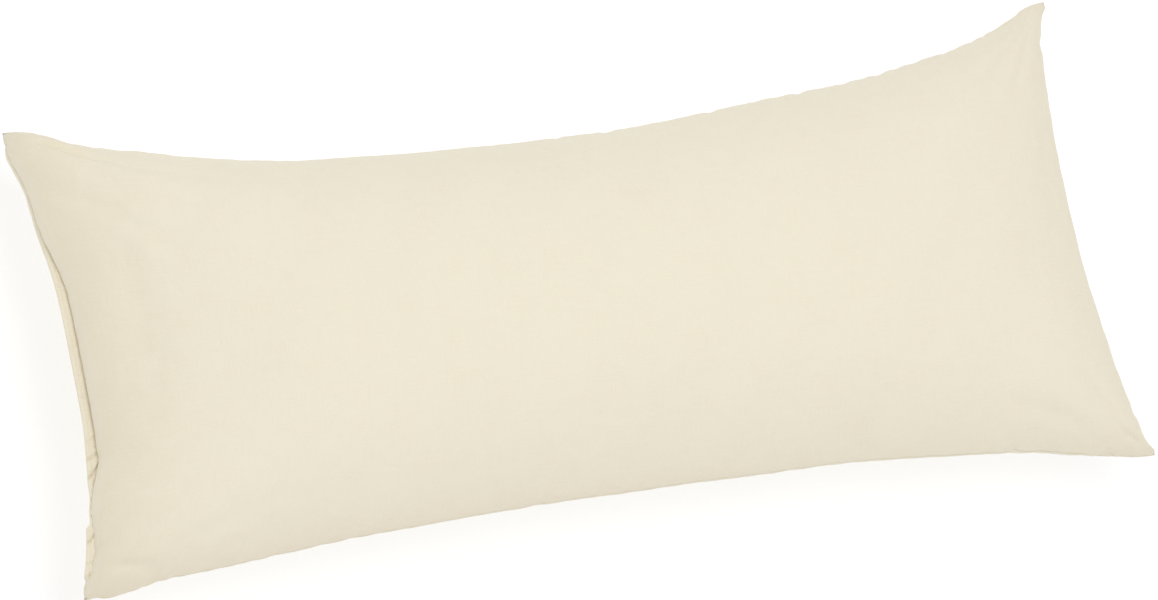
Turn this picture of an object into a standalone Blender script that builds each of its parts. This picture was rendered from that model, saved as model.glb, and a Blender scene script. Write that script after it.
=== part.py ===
"""A filled body pillow, lying on its back.

Two plain rectangles of cloth are sewn face to face, turned and filled, so the
pillow is one closed form: a crowned front, a back pressed flat where it rests,
long sides and ends drawn in between four eared tips, and a lapped hem that
closes the end at -X.

Metres, +Z up. X runs along the pillow and Y across it. The origin is on the
surface that carries the pillow, under the middle of its box.
"""

import math
from collections import namedtuple

import bmesh
import bpy
from mathutils import Vector

# Cut size of one panel: 20 x 48 in.
CUT_LENGTH = 1.219
CUT_WIDTH = 0.508
GATHER = 0.962  # share of the cut size that is left from tip to tip once filled

# The filled form.
TIP_LENGTH = CUT_LENGTH * GATHER
TIP_WIDTH = CUT_WIDTH * GATHER
LOFT = 0.236  # surface to crown
SEAM_RISE = 0.108  # surface to the seam
TIP_DROOP = 0.012  # how much lower the seam is at the tips
DROOP_POWER = 4.0
BACK_DEPTH = 0.146  # what the back would bulge below the seam if nothing pressed it
SETTLE = 0.010  # height over which the back eases into its flat patch

# How far each tip lies off the corner of an even rectangle. end: the tip's end along X.
# side: its side across Y. dx and dy: the offset.
Tip = namedtuple("Tip", "end side dx dy")
TIPS = (
    Tip(end=-1, side=1, dx=0.001, dy=0.011),
    Tip(end=1, side=1, dx=-0.004, dy=-0.006),
    Tip(end=-1, side=-1, dx=-0.018, dy=-0.005),
    Tip(end=1, side=-1, dx=0.011, dy=0.001),
)

# How the four edges are drawn in between the tips. way: which of both edges. depth: how
# far its middle is drawn in. power: higher stays drawn in closer to the tips.
Bow = namedtuple("Bow", "way depth power")
SIDE_BOWS = (
    Bow(way=1, depth=0.081, power=1.8),
    Bow(way=-1, depth=0.039, power=2.2),
)
END_BOWS = (
    Bow(way=-1, depth=0.040, power=1.7),
    Bow(way=1, depth=0.034, power=2.05),
)
BOW_FULLNESS = 0.70
SIDE_EAR = 0.078  # share of the half length over which an ear holds the edge out
END_EAR = 0.030  # the same across the ends, as a share of the half width

# How full the form is: higher powers stay full closer to the edge.
LENGTH_POWER = 3.6
WIDTH_POWER = 2.3
ROLL_POWER = 0.68  # under 1, so that the cloth rolls over steeply at the seam
HIP_POWER = 3.0  # how sharply the fall of an end meets the fall of a side

# The rows round the wall between both panels, from the front panel's rolled edge down to
# the back panel's. level: the row's place on the box. inset and rise: how far it lies
# inside the outline and over the seam, first beside a plain seam and then beside the hem.
Row = namedtuple("Row", "level inset rise hem_inset hem_rise")
ROWS = (
    Row(level=1.0, inset=0.000, rise=0.005, hem_inset=0.011, hem_rise=0.010),
    Row(level=0.4, inset=0.004, rise=0.001, hem_inset=0.015, hem_rise=-0.001),
    Row(level=-0.4, inset=0.004, rise=-0.001, hem_inset=0.000, hem_rise=-0.002),
    Row(level=-1.0, inset=0.000, rise=-0.005, hem_inset=0.001, hem_rise=-0.008),
)

# The hem. start and stop are in half widths from the middle of the end.
HEM_START = 0.50
HEM_STOP = -0.84
HEM_FADE = 0.16  # the length over which it comes and goes
HEM_WAVE = 0.20  # share of its width that its puckers take in and let out
HEM_TURNS = 9.5
HEM_TUCK = 8.0  # how closely the front panel beside it follows its edge

# Puckers that the seams draw in the cloth beside them.
PUCKER_PITCH = 0.105
PUCKER_REACH = 0.16  # share of the half width that a pucker runs into a panel
PUCKER_DEPTH = 0.0035

# The lumps of the filling under the cloth.
LUMP_HEIGHT = 0.0025

# A soft trough in the front. x and y: its middle. turn: degrees from +X.
# reach and width: half its length and half its width. depth: how deep it goes.
Fold = namedtuple("Fold", "x y turn reach width depth")
FOLDS = (
    Fold(x=-0.516, y=0.204, turn=-14, reach=0.045, width=0.012, depth=0.007),
    Fold(x=0.522, y=0.205, turn=22, reach=0.045, width=0.012, depth=0.010),
    Fold(x=0.475, y=-0.216, turn=-7, reach=0.050, width=0.012, depth=0.007),
    Fold(x=0.556, y=-0.218, turn=-50, reach=0.014, width=0.010, depth=0.005),
    Fold(x=-0.553, y=-0.222, turn=-12, reach=0.035, width=0.012, depth=0.009),
    Fold(x=-0.490, y=-0.060, turn=8, reach=0.070, width=0.018, depth=0.003),
    Fold(x=-0.500, y=-0.125, turn=-6, reach=0.060, width=0.016, depth=0.003),
)

# The cage: slices along and across, closer together near the seams.
CELLS_LONG = 34
CELLS_WIDE = 16
CROWDING = 0.55
EDGE = 0.999  # a slice at or beyond this lies on the wall between the panels
SMOOTH_LEVELS = 1

CREAM = (0.84, 0.79, 0.67, 1.0)
CLOTH_ROUGHNESS = 0.85


def clear_scene():
    for obj in list(bpy.data.objects):
        bpy.data.objects.remove(obj, do_unlink=True)


def cloth_material():
    material = bpy.data.materials.new("brushed_cream_cloth")
    material.use_nodes = True
    material.diffuse_color = CREAM
    shader = material.node_tree.nodes["Principled BSDF"]
    shader.inputs["Base Color"].default_value = CREAM
    shader.inputs["Roughness"].default_value = CLOTH_ROUGHNESS
    shader.inputs["Metallic"].default_value = 0.0
    return material


def station(share):
    """A slice's place from -1 to 1, with the slices crowded towards both ends."""
    return share + CROWDING * math.sin(math.pi * share) / math.pi


def sliced_box():
    """A closed cube from -1 to 1, sliced into the cage's cells and round its wall."""
    box = bmesh.new()
    bmesh.ops.create_cube(box, size=2.0)
    slices = [(2, row.level) for row in ROWS[1:-1]]
    for axis, cells in ((0, CELLS_LONG), (1, CELLS_WIDE)):
        slices += [(axis, station(2.0 * i / cells - 1.0)) for i in range(1, cells)]
    for axis, place in slices:
        across = Vector((0.0, 0.0, 0.0))
        across[axis] = 1.0
        every = box.verts[:] + box.edges[:] + box.faces[:]
        bmesh.ops.bisect_plane(
            box, geom=every, dist=1e-6, plane_co=across * place, plane_no=across
        )
    return box


def ramp(value, start, end):
    """0 at start, 1 at end and a smooth step between them."""
    share = min(max((value - start) / (end - start), 0.0), 1.0)
    return share * share * (3.0 - 2.0 * share)


def drawn_in(along, bow, ear):
    """How far an edge is drawn in at a place between its tips, which are at -1 and 1."""
    from_tip = 1.0 - min(abs(along), 1.0)
    held_out = math.exp(-((from_tip / ear) ** 2))
    return bow.depth * (1.0 - abs(along) ** bow.power) ** BOW_FULLNESS * (1.0 - held_out)


def plan(s, t):
    """Where a point of the box lies in plan. s runs along and t across, from -1 to 1."""
    x = s * TIP_LENGTH / 2
    y = t * TIP_WIDTH / 2
    for tip in TIPS:
        near = (1.0 + tip.end * s) * (1.0 + tip.side * t) / 4.0
        x += near * tip.dx
        y += near * tip.dy
    for bow in SIDE_BOWS:
        y -= bow.way * drawn_in(s, bow, SIDE_EAR) * (1.0 + bow.way * t) / 2.0
    for bow in END_BOWS:
        x -= bow.way * drawn_in(t, bow, END_EAR) * (1.0 + bow.way * s) / 2.0
    return x, y


def roll(along, power):
    """Height of the fall from the middle, 1, to the seam, 0."""
    return (1.0 - min(abs(along), 1.0) ** power) ** ROLL_POWER


def crown(s, t):
    """Share of the full height: the lower of both falls, with their meeting line rounded."""
    falls = (roll(s, LENGTH_POWER), roll(t, WIDTH_POWER))
    if min(falls) < 1e-6:
        return 0.0
    total = sum(fall ** -HIP_POWER for fall in falls) - 1.0
    return total ** (-1.0 / HIP_POWER)


def lumps(x, y):
    """Slow unevenness of the filling."""
    wide = math.sin(9.0 * x + 1.3) * math.cos(11.0 * y - 0.4)
    close = math.sin(21.0 * x - 13.0 * y + 0.7)
    return LUMP_HEIGHT * (wide + 0.5 * close)


def puckers(s, t, x, y):
    """Depth of the puckers beside the seams, deepest at the seam itself."""
    beside_side = max(abs(t) - 1.0 + PUCKER_REACH, 0.0) / PUCKER_REACH
    beside_end = max(abs(s) - 1.0 + PUCKER_REACH / 2, 0.0) / (PUCKER_REACH / 2)
    turns = 2.0 * math.pi / PUCKER_PITCH
    on_side = beside_side ** 1.5 * math.sin(turns * x + 1.5 * math.sin(11.0 * x) + t)
    on_end = beside_end ** 1.5 * math.sin(turns * y + 1.2 * math.sin(17.0 * y) + s)
    return PUCKER_DEPTH * (on_side * (1.0 - beside_end) + on_end * (1.0 - beside_side))


def folds(x, y):
    """Depth of the named troughs at a point of the front."""
    total = 0.0
    for fold in FOLDS:
        turn = math.radians(fold.turn)
        dx = x - fold.x
        dy = y - fold.y
        along = (dx * math.cos(turn) + dy * math.sin(turn)) / fold.reach
        across = (dy * math.cos(turn) - dx * math.sin(turn)) / fold.width
        total += fold.depth * math.exp(-along * along - across * across)
    return total


def settled(height):
    """A height over the surface: flat at 0 where it would reach below, eased in between."""
    if height <= -SETTLE:
        return 0.0
    if height >= SETTLE:
        return height
    return (height + SETTLE) ** 2 / (4.0 * SETTLE)


def seam_height(s, t):
    return SEAM_RISE - TIP_DROOP * abs(s * t) ** DROOP_POWER


def hem_share(t):
    """How much of the hem stands out at t: none near both tips."""
    come = ramp(t, HEM_START + HEM_FADE, HEM_START)
    go = ramp(t, HEM_STOP - HEM_FADE, HEM_STOP)
    return come * go


def seam_point(s, t, row):
    """A point of the wall between both panels."""
    x, y = plan(s, t)
    on_end = abs(s) > EDGE
    on_side = abs(t) > EDGE
    inward = Vector((-s * on_end, -t * on_side, 0.0)).normalized()
    hem = hem_share(t) if s < -EDGE else 0.0
    waves = HEM_WAVE * ROWS[0].hem_inset * math.sin(HEM_TURNS * math.pi * t)
    plain = Vector((0.0, 0.0, row.rise)) + row.inset * inward
    lapped = Vector((0.0, 0.0, row.hem_rise)) + (row.hem_inset + waves) * inward
    return Vector((x, y, seam_height(s, t))) + plain.lerp(lapped, hem)


def front_point(s, t):
    x, y = plan(s, t)
    tuck = ROWS[0].hem_inset * hem_share(t) * ((1.0 - s) / 2.0) ** HEM_TUCK
    share = crown(s, t)
    edge = seam_height(s, t) + ROWS[0].rise
    height = (LOFT - SEAM_RISE - ROWS[0].rise + lumps(x, y)) * share
    return Vector((x + tuck, y, edge + height - puckers(s, t, x, y) - folds(x, y)))


def back_point(s, t):
    x, y = plan(s, t)
    edge = seam_height(s, t) + ROWS[-1].rise
    return Vector((x, y, settled(edge - BACK_DEPTH * crown(s, t))))


def cover_point(corner):
    """Where a point of the sliced box lies on the filled pillow."""
    s, t, level = corner
    if max(abs(s), abs(t)) > EDGE:
        row = min(ROWS, key=lambda row: abs(row.level - level))
        return seam_point(s, t, row)
    return front_point(s, t) if level > 0.0 else back_point(s, t)


def centre_on_surface(obj):
    """Moves the mesh so that its smoothed box is centred over the origin."""
    bpy.context.view_layer.update()
    smoothed = obj.evaluated_get(bpy.context.evaluated_depsgraph_get())
    points = [vertex.co.copy() for vertex in smoothed.to_mesh().vertices]
    smoothed.to_mesh_clear()
    low = Vector(map(min, zip(*points)))
    high = Vector(map(max, zip(*points)))
    middle = (low + high) / 2
    for vertex in obj.data.vertices:
        vertex.co -= Vector((middle.x, middle.y, 0.0))


def build_pillow(collection):
    box = sliced_box()
    for vertex in box.verts:
        vertex.co = cover_point(vertex.co)
    bmesh.ops.recalc_face_normals(box, faces=box.faces[:])
    mesh = bpy.data.meshes.new("pillow")
    box.to_mesh(mesh)
    box.free()
    mesh.shade_smooth()
    mesh.materials.append(cloth_material())
    pillow = bpy.data.objects.new("pillow", mesh)
    collection.objects.link(pillow)
    smooth = pillow.modifiers.new("smooth_cloth", "SUBSURF")
    smooth.levels = SMOOTH_LEVELS
    smooth.render_levels = SMOOTH_LEVELS
    centre_on_surface(pillow)


def main():
    clear_scene()
    collection = bpy.data.collections.new("body_pillow")
    bpy.context.scene.collection.children.link(collection)
    build_pillow(collection)


main()
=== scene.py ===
"""A filled body pillow in brushed cream cloth, with its closing hem and stitches, floor, light and camera."""

import math
from collections import namedtuple

import bpy
import numpy as np
from mathutils import Matrix, Vector


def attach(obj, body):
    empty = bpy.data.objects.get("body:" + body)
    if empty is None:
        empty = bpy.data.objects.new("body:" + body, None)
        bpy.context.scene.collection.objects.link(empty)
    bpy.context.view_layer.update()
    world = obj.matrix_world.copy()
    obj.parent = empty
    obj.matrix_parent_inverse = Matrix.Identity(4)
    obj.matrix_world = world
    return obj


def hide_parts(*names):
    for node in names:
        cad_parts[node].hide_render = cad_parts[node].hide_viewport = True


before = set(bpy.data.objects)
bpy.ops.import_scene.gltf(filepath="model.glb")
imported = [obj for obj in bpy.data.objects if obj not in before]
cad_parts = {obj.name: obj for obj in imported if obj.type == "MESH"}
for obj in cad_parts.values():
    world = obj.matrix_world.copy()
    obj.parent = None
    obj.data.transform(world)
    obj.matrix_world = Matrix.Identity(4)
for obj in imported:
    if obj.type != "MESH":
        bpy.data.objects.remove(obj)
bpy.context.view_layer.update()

# ---------------------------------------------------------------- the plain form, in metres
CUT_LENGTH = 1.219
CUT_WIDTH = 0.508
GATHER = 0.962
TIP_LENGTH = CUT_LENGTH * GATHER
TIP_WIDTH = CUT_WIDTH * GATHER
LOFT = 0.236
SEAM_RISE = 0.108
TIP_DROOP = 0.012
DROOP_POWER = 4.0
BACK_DEPTH = 0.146
SETTLE = 0.010

# How far each ear's tip lies off the corner of a plain rectangle.
Tip = namedtuple("Tip", "end side dx dy")
TIPS = (
    Tip(end=-1, side=1, dx=0.001, dy=0.011),
    Tip(end=1, side=1, dx=-0.004, dy=-0.006),
    Tip(end=-1, side=-1, dx=-0.018, dy=-0.005),
    Tip(end=1, side=-1, dx=0.011, dy=0.001),
)

# How far each edge is drawn in at its middle.
Bow = namedtuple("Bow", "way depth power")
SIDE_BOWS = (
    Bow(way=1, depth=0.081, power=1.8),
    Bow(way=-1, depth=0.039, power=2.2),
)
END_BOWS = (
    Bow(way=-1, depth=0.040, power=1.7),
    Bow(way=1, depth=0.034, power=2.05),
)
BOW_FULLNESS = 0.70
SIDE_EAR = 0.078
END_EAR = 0.030

# Small bends of the outline: how far an edge is drawn in round a place along it.
Nudge = namedtuple("Nudge", "edge centre width depth")
NUDGES = (
    Nudge(edge="top", centre=-0.50, width=0.22, depth=0.0060),
    Nudge(edge="top", centre=0.40, width=0.12, depth=-0.0016),
    Nudge(edge="top", centre=0.64, width=0.08, depth=0.0020),
    Nudge(edge="top", centre=-1.00, width=0.09, depth=0.0044),
    Nudge(edge="top", centre=0.875, width=0.035, depth=-0.0022),
    Nudge(edge="top", centre=1.00, width=0.05, depth=-0.0026),
    Nudge(edge="left", centre=1.00, width=0.07, depth=0.0164),
    Nudge(edge="left", centre=0.76, width=0.17, depth=0.0066),
    Nudge(edge="left", centre=0.34, width=0.26, depth=0.0055),
    Nudge(edge="left", centre=-0.45, width=0.44, depth=0.0110),
    Nudge(edge="left", centre=-0.92, width=0.20, depth=0.0072),
    Nudge(edge="left", centre=-1.00, width=0.05, depth=0.0092),
    Nudge(edge="bottom", centre=-1.00, width=0.055, depth=0.0116),
    Nudge(edge="bottom", centre=-0.20, width=0.60, depth=0.0024),
    Nudge(edge="bottom", centre=-0.90, width=0.13, depth=0.0056),
    Nudge(edge="bottom", centre=0.43, width=0.09, depth=0.0028),
    Nudge(edge="bottom", centre=0.87, width=0.07, depth=-0.0042),
    Nudge(edge="right", centre=0.96, width=0.07, depth=-0.0048),
    Nudge(edge="right", centre=0.35, width=0.50, depth=-0.0034),
    Nudge(edge="right", centre=-0.42, width=0.20, depth=-0.0022),
)

LENGTH_POWER = 3.6
WIDTH_POWER = 2.3
ROLL_POWER = 0.68
HIP_POWER = 3.0

# Slow waves, in radians per unit along both directions: of the seam's height over the plan's shares, and of
# the filling over the plan's metres.
Wave = namedtuple("Wave", "along across start share")
SEAM_WANDER = 0.0016
SEAM_SWAY = Wave(along=17.0, across=2.0, start=0.0, share=1.0)
SEAM_QUIVER = Wave(along=-31.0, across=8.0, start=1.1, share=0.7)
LUMP_HEIGHT = 0.0025
LUMP_ALONG = Wave(along=9.0, across=0.0, start=1.3, share=1.0)
LUMP_ACROSS = Wave(along=0.0, across=11.0, start=-0.4, share=1.0)
LUMP_SLANT = Wave(along=21.0, across=-13.0, start=0.7, share=0.5)

# Rows round the wall between both panels, front to back: inset and rise beside a plain seam, then where the
# seam gapes and the front's rolled edge stands back from the hem.
Row = namedtuple("Row", "inset rise gape_inset gape_rise")
ROWS = (
    Row(inset=0.0000, rise=0.0036, gape_inset=0.0080, gape_rise=0.0058),
    Row(inset=0.0003, rise=0.0020, gape_inset=0.0076, gape_rise=0.0032),
    Row(inset=0.0012, rise=0.0009, gape_inset=0.0082, gape_rise=0.0010),
    Row(inset=0.0048, rise=0.0000, gape_inset=0.0125, gape_rise=-0.0008),
    Row(inset=0.0012, rise=-0.0009, gape_inset=0.0070, gape_rise=-0.0040),
    Row(inset=0.0002, rise=-0.0022, gape_inset=0.0036, gape_rise=-0.0054),
    Row(inset=-0.0003, rise=-0.0040, gape_inset=0.0026, gape_rise=-0.0080),
)
# The row at the bottom of the groove.
GROOVE = ROWS[3]

# Where the seam gapes: fully from start to stop along an edge, easing in before and out after.
Gape = namedtuple("Gape", "edge start stop before after share")
GAPES = (
    Gape(edge="left", start=-0.42, stop=0.28, before=0.18, after=0.36, share=1.0),
    Gape(edge="left", start=-0.90, stop=-0.74, before=0.05, after=0.06, share=0.42),
    Gape(edge="top", start=0.88, stop=0.92, before=0.06, after=0.05, share=0.30),
    Gape(edge="bottom", start=0.79, stop=0.84, before=0.05, after=0.07, share=0.12),
)
GAPE_REACH = 8.0
TIP_SLIM = 0.62
SLIM_POWER = 5.0

CELLS_LONG = 356
CELLS_WIDE = 124
CROWD_LONG = 0.25
CROWD_WIDE = 0.50
LINE_STEPS = 1200


def ramp(value, start, end):
    """0 before start, 1 past end, eased between them."""
    share = np.clip((value - start) / (end - start), 0.0, 1.0)
    return share * share * (3.0 - 2.0 * share)


def faded(off, reach):
    """1 where off is 0, fading out to 0 past reach."""
    return np.exp(-((off / reach) ** 2))


def along_edge(edge, s, t):
    """Place along an edge, closeness to it (0 on the edge across, 1 on it) and its inward direction."""
    return {
        "left": (t, (1.0 - s) / 2.0, (1.0, 0.0)),
        "right": (t, (1.0 + s) / 2.0, (-1.0, 0.0)),
        "top": (s, (1.0 + t) / 2.0, (0.0, -1.0)),
        "bottom": (s, (1.0 - t) / 2.0, (0.0, 1.0)),
    }[edge]


def drawn_in(along, bow, ear):
    """How far an edge bows inward between its two ears."""
    to_middle = np.minimum(np.abs(along), 1.0)
    held_out = faded(1.0 - to_middle, ear)
    return bow.depth * (1.0 - to_middle ** bow.power) ** BOW_FULLNESS * (1.0 - held_out)


def plan(s, t, nudges=NUDGES):
    """Where the shares s and t of the half sizes lie, seen from above."""
    x = s * TIP_LENGTH / 2
    y = t * TIP_WIDTH / 2
    for tip in TIPS:
        near = (1.0 + tip.end * s) * (1.0 + tip.side * t) / 4.0
        x = x + near * tip.dx
        y = y + near * tip.dy
    for bow in SIDE_BOWS:
        y = y - bow.way * drawn_in(s, bow, SIDE_EAR) * (1.0 + bow.way * t) / 2.0
    for bow in END_BOWS:
        x = x - bow.way * drawn_in(t, bow, END_EAR) * (1.0 + bow.way * s) / 2.0
    for nudge in nudges:
        along, close, inward = along_edge(nudge.edge, s, t)
        pull = nudge.depth * faded(along - nudge.centre, nudge.width) * close ** 2
        x = x + inward[0] * pull
        y = y + inward[1] * pull
    return x, y


def roll(along, power):
    return (1.0 - np.minimum(np.abs(along), 1.0) ** power) ** ROLL_POWER


def crown(s, t):
    """The filled height as a share of the loft: 0 on the outline, 1 in the middle."""
    along = roll(s, LENGTH_POWER)
    across = roll(t, WIDTH_POWER)
    inside = np.minimum(along, across) > 1e-6
    along = np.where(inside, along, 1.0)
    across = np.where(inside, across, 1.0)
    total = along ** -HIP_POWER + across ** -HIP_POWER - 1.0
    return np.where(inside, total ** (-1.0 / HIP_POWER), 0.0)


def turned(wave, along, across):
    """The wave's angle at a place."""
    return wave.along * along + wave.across * across + wave.start


def lumps(x, y):
    wide = np.sin(turned(LUMP_ALONG, x, y)) * np.cos(turned(LUMP_ACROSS, x, y))
    slant = np.sin(turned(LUMP_SLANT, x, y))
    return LUMP_HEIGHT * (wide + LUMP_SLANT.share * slant)


def settled(height):
    """Heights with the underside pressed flat on the floor."""
    eased = (height + SETTLE) ** 2 / (4.0 * SETTLE)
    return np.where(height <= -SETTLE, 0.0, np.where(height >= SETTLE, height, eased))


def seam_height(s, t):
    wander = np.sin(turned(SEAM_SWAY, s, t)) + SEAM_QUIVER.share * np.sin(turned(SEAM_QUIVER, s, t))
    return SEAM_RISE - TIP_DROOP * np.abs(s * t) ** DROOP_POWER + SEAM_WANDER * wander


def gape(s, t):
    """How far the seam gapes, and the pull inward that comes with it."""
    total = np.zeros_like(s)
    pull = np.zeros(s.shape + (2,))
    for item in GAPES:
        along, close, inward = along_edge(item.edge, s, t)
        opening = ramp(along, item.start - item.before, item.start)
        opening = opening * ramp(along, item.stop + item.after, item.stop)
        share = item.share * opening * close ** GAPE_REACH
        total += share
        pull += share[..., None] * inward
    return total, pull


def slimmed(s, t):
    """Share of its height that the wall keeps: less in the ears, where both panels lie close together."""
    return 1.0 - TIP_SLIM * np.abs(s * t) ** SLIM_POWER


def wall_place(s, t, row):
    """Where a row of the wall lies over the plan, before the panel's own crown."""
    x, y = plan(s, t)
    share, pull = gape(s, t)
    rise = (row.rise + (row.gape_rise - row.rise) * share) * slimmed(s, t)
    inset = (row.gape_inset - row.inset) * pull
    return np.stack([x + inset[..., 0], y + inset[..., 1], seam_height(s, t) + rise], axis=-1)


def front_form(s, t):
    place = wall_place(s, t, ROWS[0])
    share = crown(s, t)
    place[..., 2] += (LOFT - SEAM_RISE - ROWS[0].rise + lumps(place[..., 0], place[..., 1])) * share
    return place


def back_form(s, t):
    place = wall_place(s, t, ROWS[-1])
    place[..., 2] = settled(place[..., 2] - BACK_DEPTH * crown(s, t))
    return place


def station(cells, crowding):
    """Places of the mesh's lines from -1 to 1, closer together towards both ends."""
    share = np.linspace(-1.0, 1.0, cells + 1)
    return share + crowding * np.sin(math.pi * share) / math.pi


def cloth_share(form, along_s):
    """Cloth length from the middle against share of the box, along one middle line."""
    share = np.linspace(-1.0, 1.0, LINE_STEPS + 1)
    zero = np.zeros_like(share)
    line = form(share, zero) if along_s else form(zero, share)
    steps = np.linalg.norm(np.diff(line, axis=0), axis=1)
    length = np.concatenate([[0.0], np.cumsum(steps)])
    return 2.0 * length / length[-1] - 1.0, share


def cloth_place(s, t):
    """Where a point lies on its flat panel, from the panel's middle."""
    u, s_share = cloth_share(front_form, True)
    v, t_share = cloth_share(front_form, False)
    return np.interp(s, s_share, u) * CUT_LENGTH / 2, np.interp(t, t_share, v) * CUT_WIDTH / 2


# ---------------------------------------------------------------- the cloth pass
SIM_LONG = 150
SIM_WIDE = 64
SIM_FRAMES = 40
SIM_REST = 1.02
SIM_PRESSURE = 5.0
SIM_BEND = 20.0
SIM_TENSION = 30.0
SIM_GAIN = 1.1
SIM_CAP = 0.005
SIM_CROWN = 0.45
SIM_CROWN_FROM = 0.55
SIM_CROWN_FULL = 0.95
RESTING_HEIGHT = 0.030
FINE_CELLS = 1
BROAD_CELLS = 6


def cloth_mesh(s, t):
    """The closed skin that the cloth pass moves, and where each panel's points are in it."""
    rows, columns = s.shape
    front_index = np.arange(rows * columns).reshape(rows, columns)
    inner = np.zeros_like(front_index, dtype=bool)
    inner[1:-1, 1:-1] = True
    back_index = front_index.copy()
    back_index[inner] = rows * columns + np.arange(inner.sum())
    front = front_form(s, t)
    back = back_form(s, t)
    seam = (front + back) / 2
    points = np.where(inner[..., None], front, seam).reshape(-1, 3)
    points = np.concatenate([points, back[inner]])
    quads = []
    for index, flip in ((front_index, 1), (back_index, -1)):
        corners = [index[:-1, :-1], index[1:, :-1], index[1:, 1:], index[:-1, 1:]]
        quads.append(np.stack(corners[::flip], axis=-1).reshape(-1, 4))
    return points, np.concatenate(quads), front_index, back_index, inner


def cloth_settings(skin, cut):
    cloth = skin.modifiers.new("cloth", "CLOTH")
    settings = cloth.settings
    settings.quality = 6
    settings.mass = 0.005
    settings.tension_stiffness = SIM_TENSION
    settings.compression_stiffness = SIM_TENSION
    settings.shear_stiffness = 7.5
    settings.bending_model = "ANGULAR"
    settings.bending_stiffness = SIM_BEND
    settings.tension_damping = 5.0
    settings.compression_damping = 5.0
    settings.shear_damping = 5.0
    settings.bending_damping = 0.5
    settings.air_damping = 1.0
    settings.vertex_group_mass = "seam"
    settings.use_pressure = True
    settings.uniform_pressure_force = SIM_PRESSURE
    settings.effector_weights.gravity = 0.0
    settings.rest_shape_key = cut
    cloth.collision_settings.use_collision = False
    cloth.point_cache.frame_start = 1
    cloth.point_cache.frame_end = SIM_FRAMES


def cloth_moves():
    """How the cloth shifts from the plain form once it is cut flat, sewn and filled."""
    u_line = np.linspace(-1.0, 1.0, SIM_LONG + 1)
    v_line = np.linspace(-1.0, 1.0, SIM_WIDE + 1)
    s_line = np.interp(u_line, *cloth_share(front_form, True))
    t_line = np.interp(v_line, *cloth_share(front_form, False))
    s, t = np.meshgrid(s_line, t_line, indexing="ij")
    u, v = np.meshgrid(u_line, v_line, indexing="ij")
    points, quads, front_index, back_index, inner = cloth_mesh(s, t)
    flat = np.stack([u * CUT_LENGTH / 2, v * CUT_WIDTH / 2, 0.0 * u], axis=-1) * SIM_REST
    flat = np.concatenate([flat.reshape(-1, 3), flat[inner]])
    mesh = bpy.data.meshes.new("cloth_pass")
    mesh.from_pydata(points.tolist(), [], quads.tolist())
    skin = bpy.data.objects.new("cloth_pass", mesh)
    bpy.context.scene.collection.objects.link(skin)
    seam = skin.vertex_groups.new(name="seam")
    seam.add(front_index[~inner].tolist(), 1.0, "REPLACE")
    skin.shape_key_add(name="filled")
    cut = skin.shape_key_add(name="cut")
    cut.data.foreach_set("co", flat.astype(np.float32).ravel())
    cut.value = 0.0
    cloth_settings(skin, cut)
    for step in range(1, SIM_FRAMES + 1):
        bpy.context.scene.frame_set(step)
    posed = skin.evaluated_get(bpy.context.evaluated_depsgraph_get())
    result = posed.to_mesh()
    moved = np.empty(len(result.vertices) * 3, dtype=np.float32)
    result.vertices.foreach_get("co", moved)
    moved = moved.reshape(-1, 3).astype(float)
    posed.to_mesh_clear()
    bpy.data.objects.remove(skin)
    bpy.context.scene.frame_set(1)
    shift = moved - points
    return s_line, t_line, shift[front_index], shift[back_index]


def blurred(field, reach):
    """field with a box blur of reach cells, run twice, along both axes."""
    for axis in (0, 1, 0, 1):
        total = np.zeros_like(field)
        for step in range(-reach, reach + 1):
            pad = [(reach, reach) if a == axis else (0, 0) for a in range(field.ndim)]
            padded = np.pad(field, pad, mode="edge")
            start = reach + step
            total += np.take(padded, np.arange(start, start + field.shape[axis]), axis=axis)
        field = total / (2 * reach + 1)
    return field


def cubic_taps(line, value):
    """The four stations round each value and their weights, for a smooth reading between stations."""
    place = np.interp(value, line, np.arange(len(line)))
    base = np.clip(np.floor(place).astype(int), 0, len(line) - 2)
    f = place - base
    taps = [np.clip(base + k, 0, len(line) - 1) for k in (-1, 0, 1, 2)]
    gains = [
        -0.5 * f + f ** 2 - 0.5 * f ** 3,
        1.0 - 2.5 * f ** 2 + 1.5 * f ** 3,
        0.5 * f + 2.0 * f ** 2 - 1.5 * f ** 3,
        -0.5 * f ** 2 + 0.5 * f ** 3,
    ]
    return taps, gains


def sampled(field, s_line, t_line, s, t):
    """A field on the cloth pass's stations, read at other places."""
    rows, row_gains = cubic_taps(s_line, s[:, 0])
    columns, column_gains = cubic_taps(t_line, t[0])
    part = sum(g[:, None, None] * field[k] for k, g in zip(rows, row_gains))
    return sum(g[None, :, None] * part[:, k] for k, g in zip(columns, column_gains))


def capped(shift, most):
    """A shift held below most, small ones hardly changed."""
    size = np.linalg.norm(shift, axis=-1, keepdims=True)
    return shift * most / (most + size)


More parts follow.
